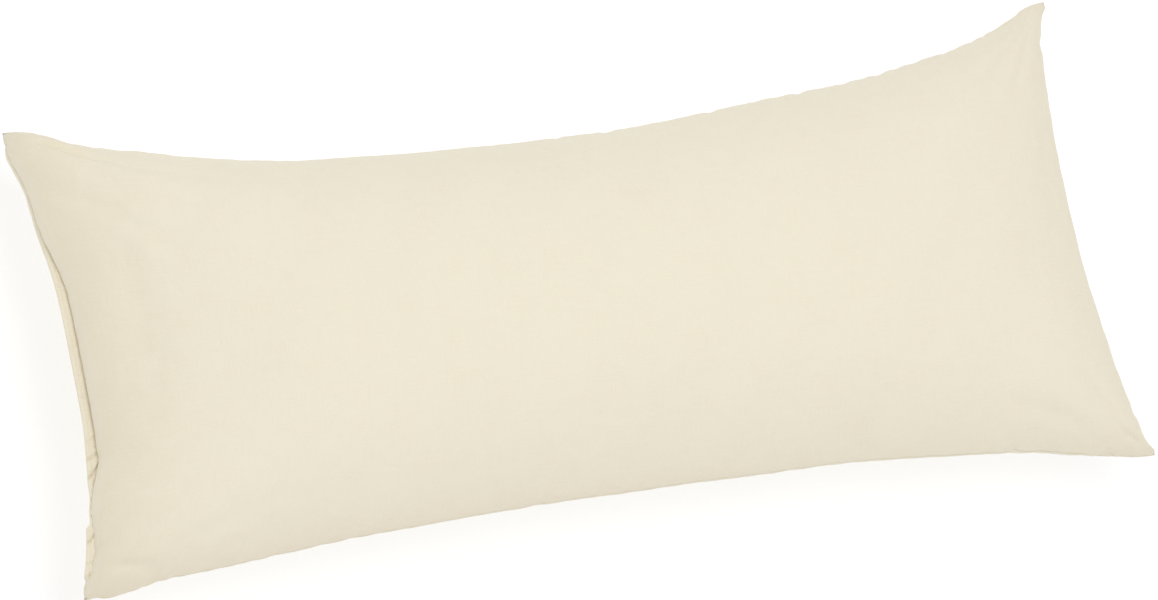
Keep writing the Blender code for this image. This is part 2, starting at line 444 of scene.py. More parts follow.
# ---------------------------------------------------------------- gathers and folds
# The larger gathers that show along the seams; smaller ones are scattered between them.
Gather = namedtuple("Gather", "edge place reach width depth lean")
GATHERS = (
    Gather(edge="top", place=0.008, reach=0.034, width=0.0060, depth=0.0016, lean=0.3),
    Gather(edge="top", place=0.100, reach=0.042, width=0.0070, depth=0.0020, lean=-0.4),
    Gather(edge="top", place=0.295, reach=0.030, width=0.0060, depth=0.0018, lean=-0.5),
    Gather(edge="top", place=0.459, reach=0.036, width=0.0065, depth=0.0019, lean=-0.6),
    Gather(edge="top", place=0.542, reach=0.028, width=0.0055, depth=0.0016, lean=-0.6),
    Gather(edge="top", place=0.607, reach=0.034, width=0.0065, depth=0.0020, lean=-0.7),
    Gather(edge="top", place=0.742, reach=0.040, width=0.0070, depth=0.0022, lean=-0.8),
    Gather(edge="top", place=-0.780, reach=0.040, width=0.0070, depth=0.0018, lean=0.7),
    Gather(edge="top", place=-0.560, reach=0.030, width=0.0065, depth=0.0013, lean=0.5),
    Gather(edge="bottom", place=0.700, reach=0.050, width=0.0080, depth=0.0024, lean=-0.5),
    Gather(edge="bottom", place=0.880, reach=0.036, width=0.0060, depth=0.0020, lean=-0.8),
    Gather(edge="bottom", place=0.300, reach=0.036, width=0.0070, depth=0.0016, lean=-0.3),
    Gather(edge="bottom", place=-0.150, reach=0.032, width=0.0070, depth=0.0014, lean=0.3),
    Gather(edge="bottom", place=-0.620, reach=0.040, width=0.0070, depth=0.0018, lean=0.6),
    Gather(edge="left", place=-0.330, reach=0.040, width=0.0060, depth=0.0018, lean=0.4),
    Gather(edge="left", place=-0.560, reach=0.044, width=0.0060, depth=0.0022, lean=0.5),
    Gather(edge="left", place=-0.700, reach=0.036, width=0.0055, depth=0.0022, lean=0.7),
    Gather(edge="right", place=0.700, reach=0.034, width=0.0060, depth=0.0018, lean=-0.6),
    Gather(edge="right", place=-0.720, reach=0.040, width=0.0060, depth=0.0022, lean=0.6),
)
SCATTER_SEED = 11
SCATTER_SPAN = 0.95
SCATTER_PITCH = 0.019
SCATTER_JITTER = 0.4
SCATTER_DEPTH = 0.0017
SCATTER_DEPTHS = (0.25, 1.0)
SCATTER_REACHES = (0.014, 0.040)
SCATTER_WIDTHS = (0.0040, 0.0075)
SCATTER_LEAN = 0.7
LEAN_JITTER = 0.3
# Share of the depth and of the reach at an edge's middle, and what is added towards its tips.
DEPTH_GROWTH = (0.55, 0.9)
REACH_GROWTH = (0.8, 0.7)
GROWTH_POWER = 4
GATHER_SPREAD = 0.9
SHOULDER = 0.38
SHOULDER_WIDTH = 2.2

# Folds listed one by one, from start to stop in shares of the half sizes; a height below 0 is a trough.
Fold = namedtuple("Fold", "s0 t0 s1 t1 bow width height")
FRONT_FOLDS = (
    # the top left ear
    Fold(s0=-0.970, t0=0.962, s1=-0.840, t1=0.926, bow=0.000, width=0.0036, height=0.0018),
    Fold(s0=-0.965, t0=0.932, s1=-0.850, t1=0.890, bow=0.001, width=0.0040, height=-0.0052),
    Fold(s0=-0.950, t0=0.700, s1=-0.780, t1=0.300, bow=0.010, width=0.0140, height=-0.0022),
    Fold(s0=-0.930, t0=0.880, s1=-0.740, t1=0.620, bow=-0.008, width=0.0130, height=-0.0020),
    Fold(s0=-0.905, t0=0.930, s1=-0.660, t1=0.800, bow=-0.004, width=0.0090, height=-0.0018),
    # the soft hollow behind the front's rolled left edge
    Fold(s0=-0.905, t0=0.560, s1=-0.900, t1=-0.420, bow=0.000, width=0.0230, height=-0.0026),
    Fold(s0=-0.930, t0=-0.020, s1=-0.850, t1=-0.130, bow=0.003, width=0.0090, height=-0.0013),
    Fold(s0=-0.940, t0=-0.330, s1=-0.830, t1=-0.400, bow=0.003, width=0.0090, height=-0.0015),
    Fold(s0=-0.955, t0=-0.560, s1=-0.840, t1=-0.500, bow=-0.003, width=0.0080, height=-0.0017),
    # the bottom left ear
    Fold(s0=-0.985, t0=-0.885, s1=-0.872, t1=-0.985, bow=0.004, width=0.0060, height=-0.0034),
    Fold(s0=-0.960, t0=-0.820, s1=-0.780, t1=-0.560, bow=0.006, width=0.0130, height=-0.0022),
    Fold(s0=-0.900, t0=-0.900, s1=-0.680, t1=-0.740, bow=-0.006, width=0.0120, height=-0.0018),
    # the top right ear
    Fold(s0=0.960, t0=0.900, s1=0.860, t1=0.560, bow=0.004, width=0.0100, height=-0.0022),
    Fold(s0=0.930, t0=0.930, s1=0.720, t1=0.700, bow=0.006, width=0.0110, height=-0.0020),
    Fold(s0=0.970, t0=0.600, s1=0.930, t1=0.180, bow=0.003, width=0.0120, height=-0.0016),
    # the bottom right ear
    Fold(s0=0.975, t0=-0.965, s1=0.935, t1=-0.900, bow=0.001, width=0.0065, height=-0.0042),
    Fold(s0=0.950, t0=-0.900, s1=0.860, t1=-0.560, bow=-0.004, width=0.0110, height=-0.0022),
    Fold(s0=0.900, t0=-0.950, s1=0.680, t1=-0.800, bow=-0.004, width=0.0110, height=-0.0022),
)
BACK_FOLDS = (
    Fold(s0=-0.950, t0=0.900, s1=-0.740, t1=0.640, bow=0.006, width=0.0120, height=-0.0030),
    Fold(s0=-0.970, t0=0.800, s1=-0.880, t1=0.380, bow=0.006, width=0.0110, height=-0.0026),
    Fold(s0=0.950, t0=0.900, s1=0.760, t1=0.660, bow=-0.006, width=0.0120, height=-0.0030),
    Fold(s0=0.975, t0=0.780, s1=0.890, t1=0.360, bow=0.004, width=0.0110, height=-0.0026),
    Fold(s0=-0.950, t0=-0.900, s1=-0.760, t1=-0.660, bow=-0.006, width=0.0120, height=-0.0030),
    Fold(s0=-0.970, t0=-0.780, s1=-0.890, t1=-0.420, bow=0.005, width=0.0110, height=-0.0026),
    Fold(s0=0.950, t0=-0.900, s1=0.740, t1=-0.680, bow=0.006, width=0.0120, height=-0.0030),
    Fold(s0=0.970, t0=-0.760, s1=0.900, t1=-0.340, bow=-0.005, width=0.0110, height=-0.0026),
)
# A fold's width where it starts and what it gains, where it eases in and out, and its cross-section.
FOLD_WIDTHS = (0.7, 0.6)
FOLD_EASE_IN = (-0.12, 0.25)
FOLD_EASE_OUT = (1.12, 0.55)
FOLD_BANK = 0.55
FOLD_FALL = 0.75

# Half the length of each edge, and how far it is across the cloth to the edge opposite.
EDGE_SIZES = {
    "left": (CUT_WIDTH / 2, CUT_LENGTH),
    "right": (CUT_WIDTH / 2, CUT_LENGTH),
    "top": (CUT_LENGTH / 2, CUT_WIDTH),
    "bottom": (CUT_LENGTH / 2, CUT_WIDTH),
}


def scattered(edge, dice):
    """Small uneven gathers along an edge, closer and deeper towards its tips."""
    half = EDGE_SIZES[edge][0]
    count = round(2 * half / SCATTER_PITCH)
    jitter = dice.uniform(-SCATTER_JITTER, SCATTER_JITTER, count) * SCATTER_PITCH / half
    for place in np.linspace(-SCATTER_SPAN, SCATTER_SPAN, count) + jitter:
        to_tip = place ** GROWTH_POWER
        depth = SCATTER_DEPTH * dice.uniform(*SCATTER_DEPTHS) * (DEPTH_GROWTH[0] + DEPTH_GROWTH[1] * to_tip)
        reach = dice.uniform(*SCATTER_REACHES) * (REACH_GROWTH[0] + REACH_GROWTH[1] * to_tip)
        lean = -SCATTER_LEAN * place + dice.uniform(-LEAN_JITTER, LEAN_JITTER)
        yield Gather(edge, place, reach, dice.uniform(*SCATTER_WIDTHS), depth, lean)


def gathered(s, t, seed):
    """How far the cloth sinks where the seams draw it together."""
    x, y = cloth_place(s, t)
    u = 2 * x / CUT_LENGTH
    v = 2 * y / CUT_WIDTH
    dice = np.random.default_rng(seed)
    height = np.zeros_like(s)
    for edge in EDGE_SIZES:
        half, depth_across = EDGE_SIZES[edge]
        along, close, _ = along_edge(edge, u, v)
        inside = (1.0 - close) * depth_across
        named = [item for item in GATHERS if item.edge == edge]
        for item in named + list(scattered(edge, dice)):
            off = (along - item.place) * half - item.lean * inside
            width = item.width * (1.0 + GATHER_SPREAD * inside / item.reach)
            shoulders = SHOULDER * faded(off, SHOULDER_WIDTH * width)
            height -= item.depth * faded(inside, item.reach) * (faded(off, width) - shoulders)
    return height


def folded(s, t, folds):
    """How far the cloth rises and sinks along the folds."""
    x = s * TIP_LENGTH / 2
    y = t * TIP_WIDTH / 2
    height = np.zeros_like(s)
    for fold in folds:
        x0 = fold.s0 * TIP_LENGTH / 2
        y0 = fold.t0 * TIP_WIDTH / 2
        run_x = fold.s1 * TIP_LENGTH / 2 - x0
        run_y = fold.t1 * TIP_WIDTH / 2 - y0
        run = math.hypot(run_x, run_y)
        share = ((x - x0) * run_x + (y - y0) * run_y) / run ** 2
        off = ((y - y0) * run_x - (x - x0) * run_y) / run
        off = off - fold.bow * 4.0 * share * (1.0 - share)
        spread = fold.width * (FOLD_WIDTHS[0] + FOLD_WIDTHS[1] * np.clip(share, 0.0, 1.0))
        square = (off / spread) ** 2
        ends = ramp(share, *FOLD_EASE_IN) * ramp(share, *FOLD_EASE_OUT)
        height += fold.height * ends * (1.0 - FOLD_BANK * square) * np.exp(-FOLD_FALL * square)
    return height


def normals(panel):
    across = np.cross(np.gradient(panel, axis=0), np.gradient(panel, axis=1))
    return across / np.maximum(np.linalg.norm(across, axis=-1, keepdims=True), 1e-12)


def dressed_panels(s, t):
    """Both panels with the cloth pass, gathers and folds on them, and how far each point has moved."""
    panels = [front_form(s, t), back_form(s, t)]
    outward = [normals(panels[0]), -normals(panels[1])]
    free = [np.ones_like(s), ramp(panels[1][..., 2], 0.0, RESTING_HEIGHT)]
    shifts = [np.zeros_like(panels[0]), np.zeros_like(panels[1])]
    sim_s, sim_t, *moves = cloth_moves()
    for shift, move in zip(shifts, moves):
        creases = SIM_GAIN * (blurred(move, FINE_CELLS) - blurred(move, BROAD_CELLS))
        taut = 1.0 - (1.0 - SIM_CROWN) * ramp(crown(s, t), SIM_CROWN_FROM, SIM_CROWN_FULL)
        shift += capped(sampled(creases, sim_s, sim_t, s, t), SIM_CAP) * taut[..., None]
    for side, folds in enumerate((FRONT_FOLDS, BACK_FOLDS)):
        height = gathered(s, t, SCATTER_SEED + side) + folded(s, t, folds)
        shifts[side] += outward[side] * height[..., None]
        shifts[side] *= free[side][..., None]
        panels[side] = panels[side] + shifts[side]
    panels[1][..., 2] = np.maximum(panels[1][..., 2], 0.0)
    return panels, shifts


# ---------------------------------------------------------------- the cover
# How much warmer and darker the cloth is coloured, as a share of the way from the cream colour to the warmer
# one: a little everywhere as its own tone, and painted shade near the seams, the two ends and the lower side,
# each with how far in it reaches. The left end's rolled edge is paler again: a painted highlight, where the
# painted shade is taken off.
WARM_BASE = 0.05
SEAM_PAINTED_SHADE = 0.22
SEAM_SHADE_REACH = 0.020
END_PAINTED_SHADE = 0.62
END_SHADE_REACH = 0.085
FAR_END_SHADE = 0.35
LOWER_PAINTED_SHADE = 0.42
LOWER_SHADE_REACH = 0.036
LOWER_SHADE_SPAN = 0.50
LIP_PAINTED_HIGHLIGHT = 0.9
LIP_HIGHLIGHT_REACH = 0.012
# How much wider each row of the wall lies on the cloth map than the row before it.
WALL_STRETCH = 0.002


def warmth_and_shade_of(s, t):
    """Painted shade near the ends, seams and lower side, and a painted highlight on the left end's rolled
    edge.
    """
    x, y = cloth_place(s, t)
    to_end = CUT_LENGTH / 2 - np.abs(x)
    to_side = CUT_WIDTH / 2 - np.abs(y)
    # Painted shade beside every seam.
    seam = faded(np.minimum(to_end, to_side), SEAM_SHADE_REACH)
    # Painted shade towards both ends, fainter at the right end.
    end = faded(to_end, END_SHADE_REACH) * np.where(x < 0.0, 1.0, FAR_END_SHADE)
    # A painted highlight on the left end's rolled edge: the painted shade is taken off there.
    lip_highlight = faded(to_end, LIP_HIGHLIGHT_REACH) * np.where(x < 0.0, LIP_PAINTED_HIGHLIGHT, 0.0)
    # Painted shade along the lower side, fading out from the left half towards the right.
    lower = faded(CUT_WIDTH / 2 + y, LOWER_SHADE_REACH) * ramp(x, LOWER_SHADE_SPAN, -LOWER_SHADE_SPAN)
    return WARM_BASE + (SEAM_PAINTED_SHADE * seam + END_PAINTED_SHADE * end + LOWER_PAINTED_SHADE * lower) * (1.0 - lip_highlight)


def border_loop(rows, columns):
    """The numbers of a grid's points, and those of its border in order."""
    index = np.arange(rows * columns).reshape(rows, columns)
    return index, np.concatenate([index[:, 0], index[-1, 1:], index[-2::-1, -1], index[0, -2:0:-1]])


def wall_rings(s, t, shifts, loop):
    """The rows of points between both panels, front to back."""
    s = s.ravel()[loop]
    t = t.ravel()[loop]
    on_end = (np.abs(s) > 1.0 - 1e-9) * -s
    on_side = (np.abs(t) > 1.0 - 1e-9) * -t
    inward = np.stack([on_end, on_side, np.zeros_like(s)], axis=-1)
    inward /= np.linalg.norm(inward, axis=1, keepdims=True)
    front_shift, back_shift = (shift.reshape(-1, 3)[loop] for shift in shifts)
    for place, row in enumerate(ROWS[1:-1], start=1):
        share = place / (len(ROWS) - 1)
        carried = front_shift * (1.0 - share) + back_shift * share
        yield wall_place(s, t, row) + inward * row.inset * slimmed(s, t)[:, None] ** 2 + carried


def build_cover(s, t):
    panels, shifts = dressed_panels(s, t)
    rows, columns = s.shape
    index, loop = border_loop(rows, columns)
    rings = list(wall_rings(s, t, shifts, loop))
    count = rows * columns
    points = np.concatenate([panels[0].reshape(-1, 3), panels[1].reshape(-1, 3)] + rings)
    quads = np.stack([index[:-1, :-1], index[1:, :-1], index[1:, 1:], index[:-1, 1:]], axis=-1).reshape(-1, 4)
    faces = [quads, quads[:, ::-1] + count]
    ladder = [loop]
    ladder += [2 * count + step * len(loop) + np.arange(len(loop)) for step in range(len(rings))]
    ladder.append(loop + count)
    for upper, lower in zip(ladder, ladder[1:]):
        faces.append(np.stack([upper, lower, np.roll(lower, -1), np.roll(upper, -1)], axis=-1))
    flat_x, flat_y = (place.ravel() for place in cloth_place(s, t))
    flat = np.stack([flat_x, flat_y], axis=-1)
    stretched = [flat[loop] * (1.0 + WALL_STRETCH * step) for step in range(1, len(rings) + 1)]
    cloth = np.concatenate([flat, flat] + stretched)
    warm_and_shade = warmth_and_shade_of(s, t).ravel()
    # The wall's rows get painted shade that grows with how deep they lie in the groove, fullest at its
    # bottom.
    warmth_and_shade = np.concatenate([warm_and_shade, warm_and_shade] + [warm_and_shade[loop] + row.inset / GROOVE.inset for row in ROWS[1:-1]])
    return new_piece("pillow_cover", points, np.concatenate(faces).tolist(), cloth, warmth_and_shade)


def new_piece(name, points, faces, cloth, warmth_and_shade):
    """A smooth mesh object whose cloth map holds each point's place on the flat cloth, in metres."""
    mesh = bpy.data.meshes.new(name)
    mesh.from_pydata(points.tolist(), [], faces)
    corners = np.empty(len(mesh.loops), dtype=np.int32)
    mesh.loops.foreach_get("vertex_index", corners)
    mesh.uv_layers.new(name="cloth").uv.foreach_set("vector", cloth[corners].astype(np.float32).ravel())
    mesh.attributes.new("warmth_and_shade", "FLOAT", "POINT").data.foreach_set("value", warmth_and_shade.astype(np.float32))
    mesh.shade_smooth()
    piece = bpy.data.objects.new(name, mesh)
    bpy.context.scene.collection.objects.link(piece)
    return piece


# ---------------------------------------------------------------- the closing hem
# The hem along the left end: how far its fold stands out from the plain edge, how far it lies below the seam
# and how much it ruffles, at places along that end.
Band = namedtuple("Band", "t stands sinks ruffle")
BANDS = (
    Band(t=-0.950, stands=-0.0050, sinks=-0.0006, ruffle=0.2),
    Band(t=-0.935, stands=-0.0020, sinks=-0.0018, ruffle=0.4),
    Band(t=-0.900, stands=0.0010, sinks=-0.0030, ruffle=0.7),
    Band(t=-0.800, stands=0.0024, sinks=-0.0036, ruffle=1.0),
    Band(t=-0.715, stands=0.0032, sinks=-0.0034, ruffle=1.0),
    Band(t=-0.690, stands=-0.0008, sinks=-0.0024, ruffle=1.0),
    Band(t=-0.600, stands=-0.0004, sinks=-0.0016, ruffle=1.2),
    Band(t=-0.500, stands=0.0014, sinks=0.0000, ruffle=1.5),
    Band(t=-0.400, stands=0.0014, sinks=0.0008, ruffle=1.2),
    Band(t=-0.250, stands=-0.0002, sinks=0.0020, ruffle=0.6),
    Band(t=-0.050, stands=0.0000, sinks=0.0016, ruffle=0.5),
    Band(t=0.200, stands=0.0002, sinks=0.0006, ruffle=0.5),
    Band(t=0.400, stands=-0.0006, sinks=0.0008, ruffle=0.6),
    Band(t=0.520, stands=-0.0026, sinks=0.0010, ruffle=0.6),
    Band(t=0.640, stands=-0.0060, sinks=0.0005, ruffle=0.4),
    Band(t=0.740, stands=-0.0070, sinks=0.0000, ruffle=0.4),
    Band(t=0.810, stands=-0.0016, sinks=-0.0006, ruffle=0.8),
    Band(t=0.860, stands=-0.0028, sinks=-0.0004, ruffle=0.5),
    Band(t=0.945, stands=-0.0080, sinks=0.0000, ruffle=0.2),
)
HEM_BEHIND = 0.020
HEM_THICK = 0.0024
HEM_DROOP = 0.0022
HEM_TURN_IN = 0.0072
HEM_STEP = 0.0005
HEM_STATIONS = 1300
HEM_ACROSS = 24
HEM_NOSE = 7
# Painted shade: the whole hem is coloured this share of the way to the warmer, darker colour.
HEM_PAINTED_SHADE = 0.45
HEM_CROWDING = 1.3
HEM_SWELL_POWER = 1.5
HEM_FOLD_FULL = 0.25
SWELL_OUT = 0.3
RUFFLE_SEED = 16
RUFFLE_COUNT = 64
RUFFLE_SPAN = 0.94
RUFFLE_JITTER = 0.012
RUFFLE_HEIGHT = 0.0009
RUFFLE_WIDTHS = (0.0016, 0.0042)
RUFFLE_LEAN = 0.9

# Creases across the hem, where its cloth laps over itself: a sharp groove with a raised lip beside it, whose
# sizes are shares of the slit's own width and depth.
SLIT_LIP = 0.5
SLIT_LIP_OFF = 2.2
SLIT_LIP_WIDTH = 1.4
SLIT_ROUND = 0.35
Slit = namedtuple("Slit", "t width depth lean")
SLITS = (
    Slit(t=0.882, width=0.0016, depth=0.0024, lean=-0.5),
    Slit(t=0.795, width=0.0016, depth=0.0016, lean=0.8),
    Slit(t=0.330, width=0.0016, depth=0.0008, lean=0.9),
    Slit(t=0.050, width=0.0016, depth=0.0009, lean=-0.8),
    Slit(t=-0.150, width=0.0016, depth=0.0012, lean=0.7),
    Slit(t=-0.345, width=0.0016, depth=0.0018, lean=-0.6),
    Slit(t=-0.418, width=0.0016, depth=0.0034, lean=-0.6),
    Slit(t=-0.496, width=0.0016, depth=0.0040, lean=-1.3),
    Slit(t=-0.590, width=0.0016, depth=0.0016, lean=-0.5),
    Slit(t=-0.660, width=0.0016, depth=0.0022, lean=0.1),
    Slit(t=-0.772, width=0.0016, depth=0.0036, lean=-1.3),
    Slit(t=-0.862, width=0.0016, depth=0.0018, lean=-0.4),
    Slit(t=-0.915, width=0.0016, depth=0.0022, lean=-1.0),
)

STITCH_IN = 0.0030
STITCH_PITCH = 0.0034
STITCH_LENGTH = 0.0027
STITCH_RADIUS = 0.00027
STITCH_ARCH = 1.6
STITCH_DIP = 0.9
STITCH_ENDS = (0.06, 0.94)
STITCH_TAPER = 0.4
STITCH_RINGS = 7
STITCH_SIDES = 6


def banded(t, name):
    """One of the hem's sizes at places along the end, eased between the table's rows."""
    places = np.array([band.t for band in BANDS])
    values = np.array([getattr(band, name) for band in BANDS])
    spot = np.clip(np.searchsorted(places, t) - 1, 0, len(BANDS) - 2)
    share = ramp((t - places[spot]) / (places[spot + 1] - places[spot]), 0.0, 1.0)
    return values[spot] * (1.0 - share) + values[spot + 1] * share


def hem_swell(t, out):
    """How far the hem rises off its plain lie, from its ruffles and slits."""
    dice = np.random.default_rng(RUFFLE_SEED)
    run = t * TIP_WIDTH / 2
    swell = np.zeros_like(run)
    for place in np.linspace(-RUFFLE_SPAN, RUFFLE_SPAN, RUFFLE_COUNT):
        centre = (place + dice.uniform(-RUFFLE_JITTER, RUFFLE_JITTER)) * TIP_WIDTH / 2
        width = dice.uniform(*RUFFLE_WIDTHS)
        height = RUFFLE_HEIGHT * dice.uniform(-1.0, 1.0)
        off = run - centre - dice.uniform(-RUFFLE_LEAN, RUFFLE_LEAN) * out
        swell += height * faded(off, width)
    swell *= banded(t, "ruffle")
    for slit in SLITS:
        off = (run - slit.t * TIP_WIDTH / 2 - slit.lean * out) / slit.width
        groove = np.exp(-np.hypot(off, SLIT_ROUND) + SLIT_ROUND)
        swell += slit.depth * (SLIT_LIP * faded(off - SLIT_LIP_OFF, SLIT_LIP_WIDTH) - groove)
    return swell


def hem_place(t, inside, up, beyond=0.0):
    """A point of the hem: inside is the way in from its fold, up the share of its half thickness."""
    step = 1e-4
    t = np.clip(t, -1.0 + step, 1.0 - step)
    ends = np.full_like(t, -1.0)
    x, y = plan(ends, t)
    ahead_x, ahead_y = plan(ends, t + step)
    run = np.hypot(ahead_x - x, ahead_y - y)
    out_x = -(ahead_y - y) / run
    out_y = (ahead_x - x) / run
    width = HEM_BEHIND + banded(t, "stands")
    share = np.clip(1.0 - inside / width, 0.0, 1.0)
    swell = hem_swell(t, -inside) * share ** HEM_SWELL_POWER
    thick = HEM_THICK / 2 * (1.0 + HEM_FOLD_FULL * ramp(inside, HEM_TURN_IN, HEM_TURN_IN - HEM_STEP))
    out = banded(t, "stands") - inside + beyond * thick + SWELL_OUT * swell
    height = seam_height(ends, t) - banded(t, "sinks") - HEM_DROOP * share ** 2 + swell + up * thick
    return np.stack([x + out * out_x, y + out * out_y, height], axis=-1)


def build_hem():
    """The folded strip: its upper face, round its fold and back along its lower face."""
    t_line = np.linspace(BANDS[0].t, BANDS[-1].t, HEM_STATIONS)
    face = HEM_BEHIND * (1.0 - np.linspace(0.0, 1.0, HEM_ACROSS)) ** HEM_CROWDING
    turn = np.linspace(math.pi / 2, -math.pi / 2, HEM_NOSE)[1:-1]
    inside = np.concatenate([face, 0.0 * turn, face[::-1]])
    up = np.concatenate([0.0 * face + 1.0, np.sin(turn), 0.0 * face - 1.0])
    beyond = np.concatenate([0.0 * face, np.cos(turn), 0.0 * face])
    t, inside_grid = np.meshgrid(t_line, inside, indexing="ij")
    inside_grid = inside_grid * (HEM_BEHIND + banded(t, "stands")) / HEM_BEHIND
    place = hem_place(t, inside_grid, up[None, :], beyond[None, :])
    rows, columns = t.shape
    index = np.arange(rows * columns).reshape(rows, columns)
    ahead = np.roll(index, -1, axis=1)
    faces = np.stack([index[:-1], ahead[:-1], ahead[1:], index[1:]], axis=-1).reshape(-1, 4)
    strip_faces = faces.tolist() + [index[0, ::-1].tolist(), index[-1].tolist()]
    steps = np.abs(np.diff(inside)) + np.abs(np.diff(up)) * HEM_THICK / 2
    around = np.concatenate([[0.0], np.cumsum(steps)])
    cloth = np.stack(np.broadcast_arrays(around[None, :], t * CUT_WIDTH / 2), axis=-1).reshape(-1, 2)
    warmth_and_shade = np.full(rows * columns, HEM_PAINTED_SHADE)
    return new_piece("closing_hem", place.reshape(-1, 3), strip_faces, cloth, warmth_and_shade)


def build_stitches():
    """Thread stitches along the hem, each dipping into the cloth at both ends."""
    first = BANDS[1].t * TIP_WIDTH / 2
    last = BANDS[-2].t * TIP_WIDTH / 2
    starts = np.arange(first, last, STITCH_PITCH)
    share = np.linspace(0.0, 1.0, STITCH_RINGS)
    t = (starts[:, None] + share * STITCH_LENGTH) / (TIP_WIDTH / 2)
    lie = hem_place(t, np.full_like(t, STITCH_IN), np.ones_like(t))
    lie[..., 2] += STITCH_RADIUS * (STITCH_ARCH * np.sin(math.pi * share) - STITCH_DIP)
    slim = STITCH_RADIUS * np.sin(math.pi * np.clip(share, *STITCH_ENDS)) ** STITCH_TAPER
    angle = np.linspace(0.0, 2.0 * math.pi, STITCH_SIDES, endpoint=False)
    along = np.gradient(lie, axis=1)
    along /= np.linalg.norm(along, axis=-1, keepdims=True)
    side = np.cross(along, (0.0, 0.0, 1.0))
    side /= np.linalg.norm(side, axis=-1, keepdims=True)
    upward = np.cross(side, along)
    ring = np.cos(angle)[:, None] * side[:, :, None] + np.sin(angle)[:, None] * upward[:, :, None]
    points = (lie[:, :, None] + slim[None, :, None, None] * ring).reshape(-1, 3)
    block = STITCH_RINGS * STITCH_SIDES
    index = np.arange(block).reshape(STITCH_RINGS, STITCH_SIDES)
    ahead = np.roll(index, -1, axis=1)
    tube = np.stack([index[:-1], index[1:], ahead[1:], ahead[:-1]], axis=-1).reshape(-1, 4).tolist()
    tube += [index[0].tolist(), index[-1, ::-1].tolist()]
    faces = []
    for stitch in range(len(starts)):
        faces += [[corner + stitch * block for corner in face] for face in tube]
    cloth = np.stack([points[:, 1], points[:, 2]], axis=-1)
    return new_piece("hem_stitches", points, faces, cloth, np.zeros(len(points)))


# ---------------------------------------------------------------- materials
CREAM = (0.860, 0.802, 0.652, 1.0)
# A warmer, darker cream, mixed in for the cloth's own uneven tone and for painted shade.
WARM_TONE_AND_SHADE = (0.830, 0.748, 0.588, 1.0)
THREAD = (0.870, 0.810, 0.665, 1.0)
WEAVE_PITCH = 0.0004
WEAVE_RELIEF = 0.00003
SLUB_LENGTH = 0.030
SLUB_WIDTH = 0.0011
CRUMPLE_SIZE = 0.034
CRUMPLE_RELIEF = 0.0015
NAP_SIZE = 0.0022
NAP_RELIEF = 0.00022
MOTTLE = 0.75
SLUB_TINT = 0.85
TWIST_PITCH = 0.0006
TWIST_RELIEF = 0.00005
TWIST_TINT = 0.2
TWIST_BASE = 0.25


def wired(tree, kind, inputs=(), **settings):
    """A new node with its settings, and its inputs set to values or linked to other nodes' outputs."""
    new = tree.nodes.new(kind)
    for name, value in settings.items():
        setattr(new, name, value)
    for name, value in dict(inputs).items():
        if isinstance(value, bpy.types.NodeSocket):
            tree.links.new(value, new.inputs[name])
        else:
            new.inputs[name].default_value = value
    return new


def math_node(tree, operation, first, second=0.0):
    return wired(tree, "ShaderNodeMath", {0: first, 1: second}, operation=operation).outputs[0]


def mixed_colour(tree, share, first, second):
    return wired(tree, "ShaderNodeMix", {0: share, 6: first, 7: second}, data_type="RGBA").outputs[2]


def noise(tree, vector, size, detail=2.0, distortion=0.0):
    inputs = {"Vector": vector, "Scale": 1.0 / size, "Detail": detail, "Distortion": distortion}
    return wired(tree, "ShaderNodeTexNoise", inputs).outputs["Fac"]


def streaks(tree, vector, width, length):
    """Noise drawn out along one thread direction of the flat cloth."""
    scale = (1.0 / width, 1.0 / length, 1.0)
    return noise(tree, wired(tree, "ShaderNodeMapping", {"Vector": vector, "Scale": scale}).outputs[0], 1.0)


def bump(tree, height, relief, under=None):
    inputs = {"Height": height, "Distance": relief}
    if under is not None:
        inputs["Normal"] = under
    return wired(tree, "ShaderNodeBump", inputs).outputs[0]


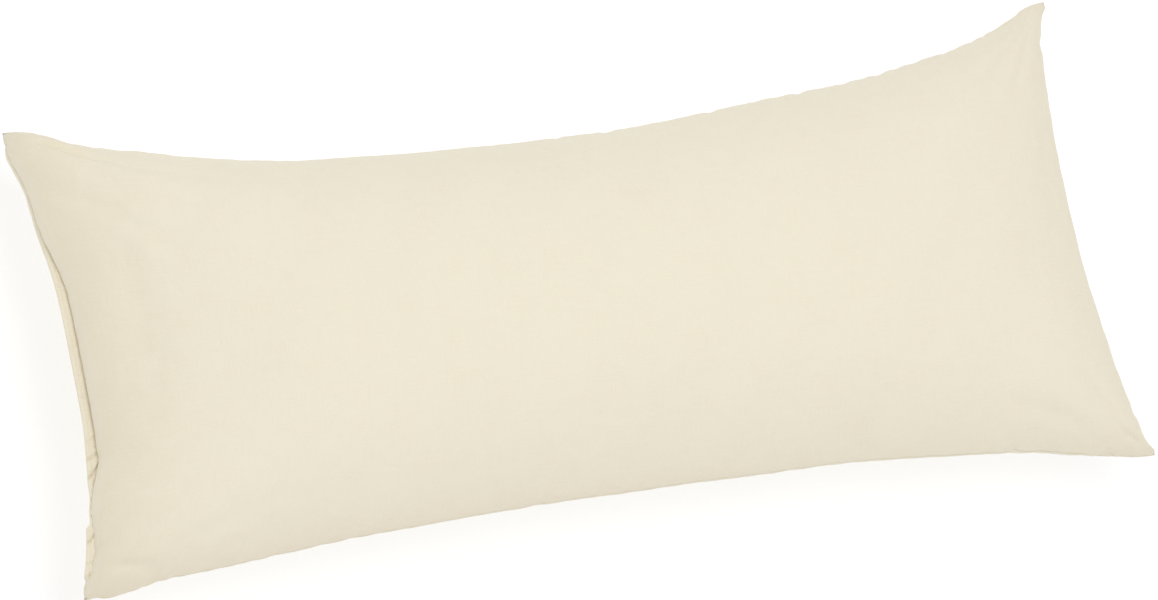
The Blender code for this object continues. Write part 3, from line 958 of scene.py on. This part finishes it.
def cloth_material():
    """Brushed plain weave: threads that cross over and under, uneven in thickness, with a soft nap."""
    material = bpy.data.materials.new("brushed_cream_cloth")
    material.use_nodes = True
    tree = material.node_tree
    flat = wired(tree, "ShaderNodeUVMap", uv_map="cloth").outputs[0]
    solid = wired(tree, "ShaderNodeTexCoord").outputs["Object"]
    parts = wired(tree, "ShaderNodeSeparateXYZ", {0: flat}).outputs
    turns = math.pi / WEAVE_PITCH
    warp, weft = (math_node(tree, "SINE", math_node(tree, "MULTIPLY", part, turns)) for part in parts[:2])
    crossing = math_node(tree, "MULTIPLY", warp, weft)
    slub_across = streaks(tree, flat, SLUB_WIDTH, SLUB_LENGTH)
    slub_along = streaks(tree, flat, SLUB_LENGTH, SLUB_WIDTH)
    slub = math_node(tree, "ADD", slub_across, slub_along)
    crumple = noise(tree, solid, CRUMPLE_SIZE, detail=4.0, distortion=0.8)
    lie = bump(tree, crumple, CRUMPLE_RELIEF)
    brushed = bump(tree, noise(tree, solid, NAP_SIZE), NAP_RELIEF, lie)
    threads = bump(tree, math_node(tree, "ADD", crossing, slub), WEAVE_RELIEF, brushed)
    # Per point: the cloth's own base tone, painted shade and the painted highlight on the left end's rolled
    # edge.
    warmth_and_shade = wired(tree, "ShaderNodeAttribute", attribute_name="warmth_and_shade").outputs["Fac"]
    mottle = math_node(tree, "MULTIPLY_ADD", crumple, MOTTLE)
    mottle.node.inputs[2].default_value = -MOTTLE / 2
    grain = math_node(tree, "MULTIPLY_ADD", slub, SLUB_TINT)
    grain.node.inputs[2].default_value = -SLUB_TINT
    share = math_node(tree, "ADD", warmth_and_shade, math_node(tree, "ADD", mottle, grain))
    shader = tree.nodes["Principled BSDF"]
    tree.links.new(mixed_colour(tree, share, CREAM, WARM_TONE_AND_SHADE), shader.inputs["Base Color"])
    tree.links.new(threads, shader.inputs["Normal"])
    shader.inputs["Roughness"].default_value = 0.88
    shader.inputs["Specular IOR Level"].default_value = 0.25
    shader.inputs["Sheen Weight"].default_value = 0.22
    shader.inputs["Sheen Roughness"].default_value = 0.45
    shader.inputs["Sheen Tint"].default_value = (1.0, 0.975, 0.92, 1.0)
    return material


def thread_material():
    """Spun thread: slightly glossier than the cloth, with a fine twist."""
    material = bpy.data.materials.new("cream_thread")
    material.use_nodes = True
    tree = material.node_tree
    flat = wired(tree, "ShaderNodeUVMap", uv_map="cloth").outputs[0]
    parts = wired(tree, "ShaderNodeSeparateXYZ", {0: flat}).outputs
    slant = math_node(tree, "ADD", parts[0], parts[1])
    twist = math_node(tree, "SINE", math_node(tree, "MULTIPLY", slant, 2.0 * math.pi / TWIST_PITCH))
    shader = tree.nodes["Principled BSDF"]
    tree.links.new(bump(tree, twist, TWIST_RELIEF), shader.inputs["Normal"])
    share = math_node(tree, "MULTIPLY_ADD", twist, TWIST_TINT)
    share.node.inputs[2].default_value = TWIST_BASE
    tree.links.new(mixed_colour(tree, share, THREAD, WARM_TONE_AND_SHADE), shader.inputs["Base Color"])
    shader.inputs["Roughness"].default_value = 0.6
    shader.inputs["Sheen Weight"].default_value = 0.15
    return material


# ---------------------------------------------------------------- stage
# The photo's view: the directions to its right and its top, its size in pixels, its scale, and the pixel on
# which the frame's origin falls.
RIGHT = Vector((0.9144, -0.2102, 0.3458))
UP = Vector((0.1272, 0.9605, 0.2474))
AWAY = 24.0
SENSOR = 36.0
PHOTO_WIDTH = 1158
PHOTO_HEIGHT = 600
PIXELS_PER_METRE = 981.2
ORIGIN_X = 533.7
ORIGIN_Y = 322.0
FLOOR_HALF = 20.0
FLOOR_GAP = 0.0005


def place_camera():
    right = RIGHT.normalized()
    back = right.cross(UP).normalized()
    up = back.cross(right)
    data = bpy.data.cameras.new("camera")
    data.sensor_width = SENSOR
    data.lens = PIXELS_PER_METRE * SENSOR * AWAY / PHOTO_WIDTH
    data.clip_start = 1.0
    data.clip_end = 100.0
    camera = bpy.data.objects.new("camera", data)
    middle = right * ((PHOTO_WIDTH / 2 - ORIGIN_X) / PIXELS_PER_METRE)
    middle += up * ((ORIGIN_Y - PHOTO_HEIGHT / 2) / PIXELS_PER_METRE)
    turn = Matrix((right, up, back)).transposed().to_4x4()
    camera.matrix_world = Matrix.Translation(middle + back * AWAY) @ turn
    bpy.context.scene.collection.objects.link(camera)
    bpy.context.scene.camera = camera


def area_light(name, place, size, power):
    data = bpy.data.lights.new(name, "AREA")
    data.shape = "SQUARE"
    data.size = size
    data.energy = power
    light = bpy.data.objects.new(name, data)
    light.location = place
    light.rotation_euler = (-Vector(place)).to_track_quat("-Z", "Y").to_euler()
    bpy.context.scene.collection.objects.link(light)


def build_floor():
    mesh = bpy.data.meshes.new("floor")
    corners = [(-1, -1), (1, -1), (1, 1), (-1, 1)]
    mesh.from_pydata([(x * FLOOR_HALF, y * FLOOR_HALF, 0.0) for x, y in corners], [], [(0, 1, 2, 3)])
    material = bpy.data.materials.new("floor")
    material.use_nodes = True
    shader = material.node_tree.nodes["Principled BSDF"]
    shader.inputs["Base Color"].default_value = (0.42, 0.42, 0.42, 1.0)
    shader.inputs["Roughness"].default_value = 1.0
    shader.inputs["Specular IOR Level"].default_value = 0.0
    shader.inputs["Emission Color"].default_value = (1.0, 1.0, 1.0, 1.0)
    shader.inputs["Emission Strength"].default_value = 0.64
    mesh.materials.append(material)
    floor = bpy.data.objects.new("floor", mesh)
    floor.location.z = -FLOOR_GAP
    bpy.context.scene.collection.objects.link(floor)


def build_stage():
    scene = bpy.context.scene
    scene.view_settings.view_transform = "Standard"
    world = bpy.data.worlds.new("studio")
    world.use_nodes = True
    background = world.node_tree.nodes["Background"]
    background.inputs["Color"].default_value = (1.0, 1.0, 1.0, 1.0)
    background.inputs["Strength"].default_value = 0.74
    scene.world = world
    area_light("key", place=(0.05, 0.12, 4.0), size=2.0, power=45.0)
    build_floor()


def outline_centre(s, t):
    """The middle of the plain outline's box, which lies over the frame's origin."""
    x, y = plan(s, t, nudges=())
    return (x.min() + x.max()) / 2, (y.min() + y.max()) / 2


def dress():
    s, t = np.meshgrid(station(CELLS_LONG, CROWD_LONG), station(CELLS_WIDE, CROWD_WIDE), indexing="ij")
    cover = build_cover(s, t)
    hem = build_hem()
    stitches = build_stitches()
    cloth = cloth_material()
    cover.data.materials.append(cloth)
    hem.data.materials.append(cloth)
    stitches.data.materials.append(thread_material())
    centre = outline_centre(s, t)
    for piece in (cover, hem, stitches):
        piece.data.transform(Matrix.Translation((-centre[0], -centre[1], 0.0)))
        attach(piece, "root")
    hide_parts("pillow")


dress()
place_camera()
build_stage()
